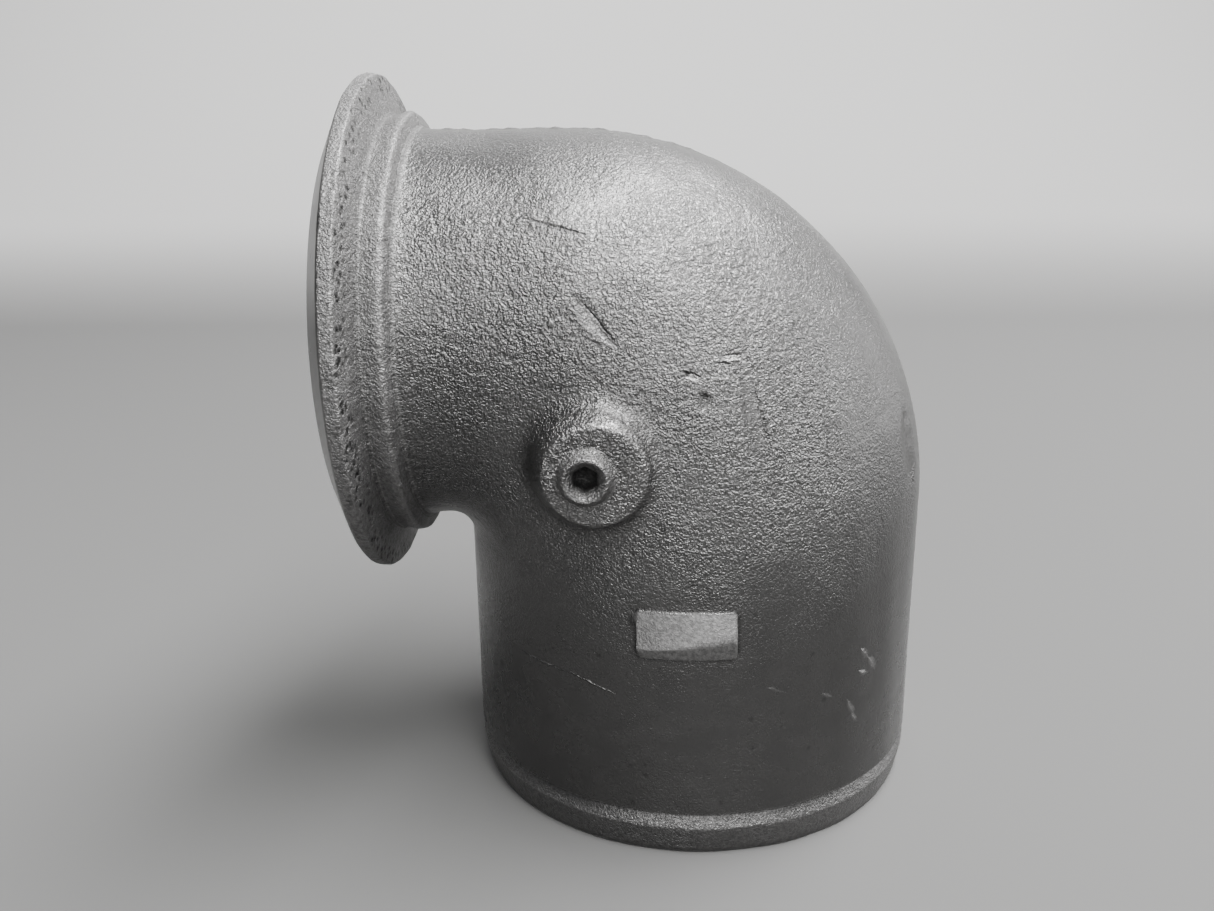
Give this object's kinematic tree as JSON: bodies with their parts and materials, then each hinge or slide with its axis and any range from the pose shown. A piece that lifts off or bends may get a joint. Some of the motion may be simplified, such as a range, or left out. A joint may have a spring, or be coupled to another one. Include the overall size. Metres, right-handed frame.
{
  "type": "flue elbow",
  "caption": "Cast-iron reducing flue elbow with a V-band clamp flange, a grooved spigot end, and a sensor port closed by a socket plug.",
  "frame": {"origin": "on the plane of the spigot's end face, midway between the flange face and the back of the vertical leg; the vertical leg's axis passes 11.35 mm towards +X", "axes": "+Z along the vertical leg, away from its end face; -X out of the V-band flange; -Y out of the sensor port"},
  "size_m": [0.1244, 0.1088, 0.1554],
  "materials": {
    "casting": "satin",
    "plug": "satin"
  },
  "bodies": {
    "elbow": {"elbow_casting": "casting"},
    "plug": {"port_plug": "plug"}
  },
  "joints": [
    {"name": "plug_out", "type": "slide", "parent": "elbow", "child": "plug", "axis": [0, -1, 0], "range_m": [0, 0.016]}
  ]
}
